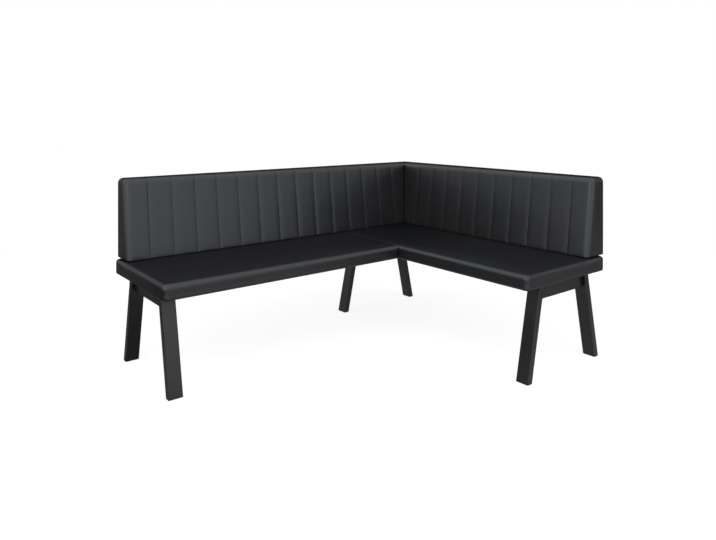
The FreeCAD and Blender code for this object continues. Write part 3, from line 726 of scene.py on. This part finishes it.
def leatherette():
    """Black leatherette: pebbled grain over soft, broad unevenness."""
    n = new_material("black_leatherette")
    even = n.place()
    cells = n.add("TexVoronoi", feature="DISTANCE_TO_EDGE")
    cells.inputs["Scale"].default_value = PEBBLES_PER_METRE
    n.link(even, cells.inputs["Vector"])
    pebble = cells.outputs["Distance"]
    fine = n.noise(even, scale=1800.0, detail=2.0)
    broad = n.noise(even, scale=9.0, detail=4.0)
    drift = n.noise(even, scale=2.2, detail=2.0)
    height = n.blend((pebble, 1.6), (fine, 0.3))
    normal = n.bump(broad, distance=0.0018, strength=0.45)
    normal = n.bump(height, distance=0.0003, strength=0.12, below=normal)
    colour = n.two_tone(n.blend((broad, 0.5), (drift, 0.5)), LEATHERETTE, low=0.25, high=0.75)
    roughness = n.span(n.blend((broad, 0.7), (fine, 0.3)), low=0.27, high=0.39)
    gloss = n.span(n.add("LayerWeight").outputs["Facing"], *GLOSS_LEVELS, ends=GLOSS_FACING)
    n.link(gloss, n.shader.inputs["Specular IOR Level"])
    return n.finish(colour, roughness, normal)


def lacquered_wood(name, grain):
    """Black lacquer over wood; grain gives the texture's scale per axis, low along the grain."""
    n = new_material(name)
    stretched = n.place(grain)
    lines_of_grain = n.noise(stretched, scale=1.0, detail=5.0, rough=0.6)
    pores = n.noise(stretched, scale=3.5, detail=2.0)
    normal = n.bump(lines_of_grain, distance=0.0004, strength=0.25)
    normal = n.bump(pores, distance=0.0002, strength=0.15, below=normal)
    colour = n.two_tone(lines_of_grain, LACQUER)
    roughness = n.span(pores, low=0.28, high=0.42)
    return n.finish(colour, roughness, normal)


def raw_wood(name, colours, grain):
    """Bare timber or plywood between two colours; grain as above."""
    n = new_material(name)
    stretched = n.place(grain)
    streaks = n.noise(stretched, scale=1.0, detail=4.0, rough=0.6)
    colour = n.two_tone(streaks, colours)
    roughness = n.span(streaks, low=0.55, high=0.75)
    return n.finish(colour, roughness, n.bump(streaks, distance=0.0004, strength=0.3))


def fibrous(name, colours, scale):
    """Fibres, felt or foam between two colours."""
    n = new_material(name)
    even = n.place()
    fibres = n.noise(even, scale, detail=4.0, rough=0.7)
    colour = n.two_tone(fibres, colours, low=0.35, high=0.65)
    roughness = n.span(fibres, low=0.85, high=1.0)
    return n.finish(colour, roughness, n.bump(fibres, distance=0.0005, strength=0.4))


def metal(name, colours, metallic, low, high):
    """Metal or its coat between two colours, with a roughness from low to high."""
    n = new_material(name)
    even = n.place()
    mottle = n.noise(even, scale=60.0, detail=3.0)
    n.shader.inputs["Metallic"].default_value = metallic
    colour = n.two_tone(mottle, colours)
    return n.finish(colour, n.span(mottle, low, high), n.bump(mottle, distance=0.0001, strength=0.2))


def thread_material():
    """Black sewing thread."""
    n = new_material("black_thread")
    even = n.place()
    twist = n.noise(even, scale=900.0, detail=2.0)
    colour = n.two_tone(twist, THREAD)
    return n.finish(colour, n.span(twist, low=0.5, high=0.7), n.bump(twist, distance=0.0002, strength=0.3))


def dress(piece, material):
    """Gives a piece one material in place of its own."""
    piece.data.materials.clear()
    piece.data.materials.append(material)


def make_seats(material):
    """The skins of both seats, in place of the plain covers and foams."""
    for wing in ("long", "short"):
        piece = subdivided(seat_mesh(wing + "_seat_upholstery", wing))
        dress(piece, material)
        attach(piece, "root")
        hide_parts(wing + "_seat_cover", wing + "_seat_foam")


def make_backs(material, thread):
    """The skins of both backs with their stitches, in place of the plain covers and foams."""
    for wing in ("long", "short"):
        piece = subdivided(back_mesh(wing + "_back_upholstery", wing))
        dress(piece, material)
        thread_row = stitches(wing + "_back_stitches", piece, wing)
        dress(thread_row, thread)
        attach(thread_row, "root")
        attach(piece, "root")
        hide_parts(wing + "_back_cover", wing + "_back_foam")


def dress_cad_nodes():
    """Materials for everything that is seen as packed."""

    def grained(scales, axis):
        """A scale for each axis, the one along the grain and the one across it."""
        along, across = scales
        return tuple(along if index == axis else across for index in range(3))

    upright_wood = lacquered_wood("black_lacquer_upright", grained(LACQUER_GRAIN, 2))
    along_x = lacquered_wood("black_lacquer_along_x", grained(LACQUER_GRAIN, 0))
    along_y = lacquered_wood("black_lacquer_along_y", grained(LACQUER_GRAIN, 1))
    timber = raw_wood("frame_timber", TIMBER, grained(TIMBER_GRAIN, 0))
    plywood = raw_wood("plywood", PLYWOOD, grained(PLYWOOD_GRAIN, 0))
    beech = raw_wood("beech", BEECH, grained(PLYWOOD_GRAIN, 0))
    lining = fibrous("dust_lining", LINING, scale=700.0)
    felt = fibrous("felt", FELT, scale=1200.0)
    foam = fibrous("foam", FOAM, scale=500.0)
    powder_coat = metal("black_powder_coat", POWDER_COAT, metallic=0.0, low=0.40, high=0.55)
    zinc = metal("zinc", ZINC, metallic=1.0, low=0.25, high=0.40)
    # The first ending that fits a node's name decides, and what fits none is zinc
    by_ending = [
        (("_leg",), upright_wood),
        (("left_crossbar",), along_y),
        (("_crossbar",), along_x),
        (("_lining",), lining),
        (("_glide",), felt),
        (("_foam",), foam),
        (("_brackets", "joining_plates"), powder_coat),
        (("_panel", "_deck"), plywood),
        (("leg_dowels",), beech),
        (("_rail", "_rails", "_ribs"), timber),
    ]
    for name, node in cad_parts.items():
        fitting = [material for endings, material in by_ending if name.endswith(endings)]
        dress(node, fitting[0] if fitting else zinc)


def make_camera():
    """The photograph's viewpoint: a level camera, shifted down."""
    data = bpy.data.cameras.new("camera")
    data.sensor_fit = "HORIZONTAL"
    data.sensor_width = SENSOR_WIDTH
    data.lens = FOCAL_PIXELS * SENSOR_WIDTH / IMAGE_WIDTH
    data.shift_y = -(IMAGE_HEIGHT / 2 - HORIZON_Y) / IMAGE_WIDTH
    data.clip_start, data.clip_end = CAMERA_CLIP
    camera = added("camera", data)
    camera.location = CAMERA_PLACE
    camera.rotation_euler = (math.pi / 2, 0, -CAMERA_HEADING)
    scene.camera = camera


def softbox():
    """One soft light on the front left, above the bench."""
    data = bpy.data.lights.new("softbox", "AREA")
    data.shape = "RECTANGLE"
    data.size, data.size_y = SOFTBOX_SIZE
    data.energy = SOFTBOX_POWER
    light = added("softbox", data)
    light.location = SOFTBOX_PLACE
    aim = Vector(SOFTBOX_TARGET) - Vector(SOFTBOX_PLACE)
    light.rotation_euler = aim.to_track_quat("-Z", "Y").to_euler()


def studio_world():
    """White to the camera. The studio that lights the object is bright above and in front and dims behind."""
    scene.world = bpy.data.worlds.new("studio")
    n = Nodes(scene.world, "Background")
    direction = n.add("TexCoord").outputs["Generated"]

    def facing(axis):
        """How far a direction points the way of an axis, from -1 to 1."""
        made = n.add("VectorMath", operation="DOT_PRODUCT")
        made.inputs[1].default_value = axis
        n.link(direction, made.inputs[0])
        return made.outputs["Value"]

    turned = n.math("MULTIPLY_ADD", facing(STUDIO_BRIGHT), 0.5, 0.5)
    around = n.ramp(turned, [(place, (level, level, level)) for place, level in STUDIO_LEVELS], "EASE")
    shade = n.span(facing(STUDIO_SHADED), 1.0, SHADED_LEVEL, SHADED_SPAN, "SMOOTHSTEP")
    lit = n.math("MULTIPLY", around, shade)
    soft = n.span(facing(DIFFUSE_FRONT), 0.0, DIFFUSE_LIGHT, DIFFUSE_SPAN, "SMOOTHSTEP")
    from_camera, mirrored = n.rays()
    unmirrored = n.math("MULTIPLY", soft, n.math("SUBTRACT", 1.0, mirrored))
    strength = n.math("MULTIPLY_ADD", lit, mirrored, unmirrored)
    n.link(n.math("MAXIMUM", from_camera, strength), n.shader.inputs["Strength"])
    tint = n.add("MixRGB")
    tint.inputs["Color1"].default_value = STUDIO_TINT
    tint.inputs["Color2"].default_value = WHITE
    n.link(from_camera, tint.inputs["Fac"])
    n.link(tint.outputs["Color"], n.shader.inputs["Color"])


def studio_floor():
    """A pale floor that meets the white backdrop and keeps a faint shadow."""
    turns = ((-1, -1), (1, -1), (1, 1), (-1, 1))
    floor = flat_piece("floor", [(x * FLOOR_REACH, y * FLOOR_REACH, 0) for x, y in turns])
    n = new_material("floor_white")
    n.shader.inputs["Roughness"].default_value = 0.9
    n.shader.inputs["Specular IOR Level"].default_value = 0.0
    even = n.place()
    speckle = n.noise(even, scale=40.0, detail=2.0)
    lighter = [value + FLOOR_SPECKLE for value in FLOOR_COLOUR]
    n.link(n.two_tone(speckle, (FLOOR_COLOUR, lighter)), n.shader.inputs["Base Color"])
    parts = n.add("SeparateXYZ")
    n.link(even, parts.inputs[0])
    rightward, rearward = parts.outputs["X"], parts.outputs["Y"]
    leftward = n.math("SUBTRACT", n.math("MULTIPLY", rearward, FLOOR_LEFT_SLANT), rightward)

    def kept(value, ends, low):
        """The share that is kept: all of it before the first end, and the low share after the second."""
        return n.span(value, 1.0, low, ends, "SMOOTHSTEP")

    glow = n.math("MULTIPLY", kept(rearward, FLOOR_DIMS_BEHIND, FLOOR_KEPT_BEHIND),
                  kept(rightward, FLOOR_DIMS_RIGHT, FLOOR_KEPT_RIGHT))
    glow = n.math("MULTIPLY", glow, kept(leftward, FLOOR_DIMS_LEFT, FLOOR_KEPT_LEFT))
    from_camera, mirrored = n.rays()
    lift = n.blend((from_camera, FLOOR_LIFT), (n.math("MULTIPLY", mirrored, glow), FLOOR_MIRRORED))
    n.shader.inputs["Emission Color"].default_value = WHITE
    n.link(lift, n.shader.inputs["Emission Strength"])
    dress(floor, n.owner)


def studio_card():
    """A low black card on the left. Only reflections see it: it darkens the legs' left faces."""
    near, far = CARD_Y
    corners = ((near, 0), (far, 0), (far, CARD_HEIGHT), (near, CARD_HEIGHT))
    card = flat_piece("black_card", [(CARD_X, y, z) for y, z in corners])
    n = new_material("black_card")
    n.shader.inputs["Specular IOR Level"].default_value = 0.0
    weave = n.noise(n.place(), scale=300.0, detail=2.0)
    colour = n.two_tone(weave, CARD)
    dress(card, n.finish(colour, n.span(weave, low=0.8, high=1.0)))
    card.visible_camera = card.visible_diffuse = card.visible_shadow = False


def make_stage():
    """Pale floor, white surroundings and soft studio light."""
    studio_world()
    studio_floor()
    studio_card()
    softbox()


scene.view_settings.view_transform = "Standard"
make_camera()
make_stage()
leather = leatherette()
make_seats(leather)
make_backs(leather, thread_material())
dress_cad_nodes()
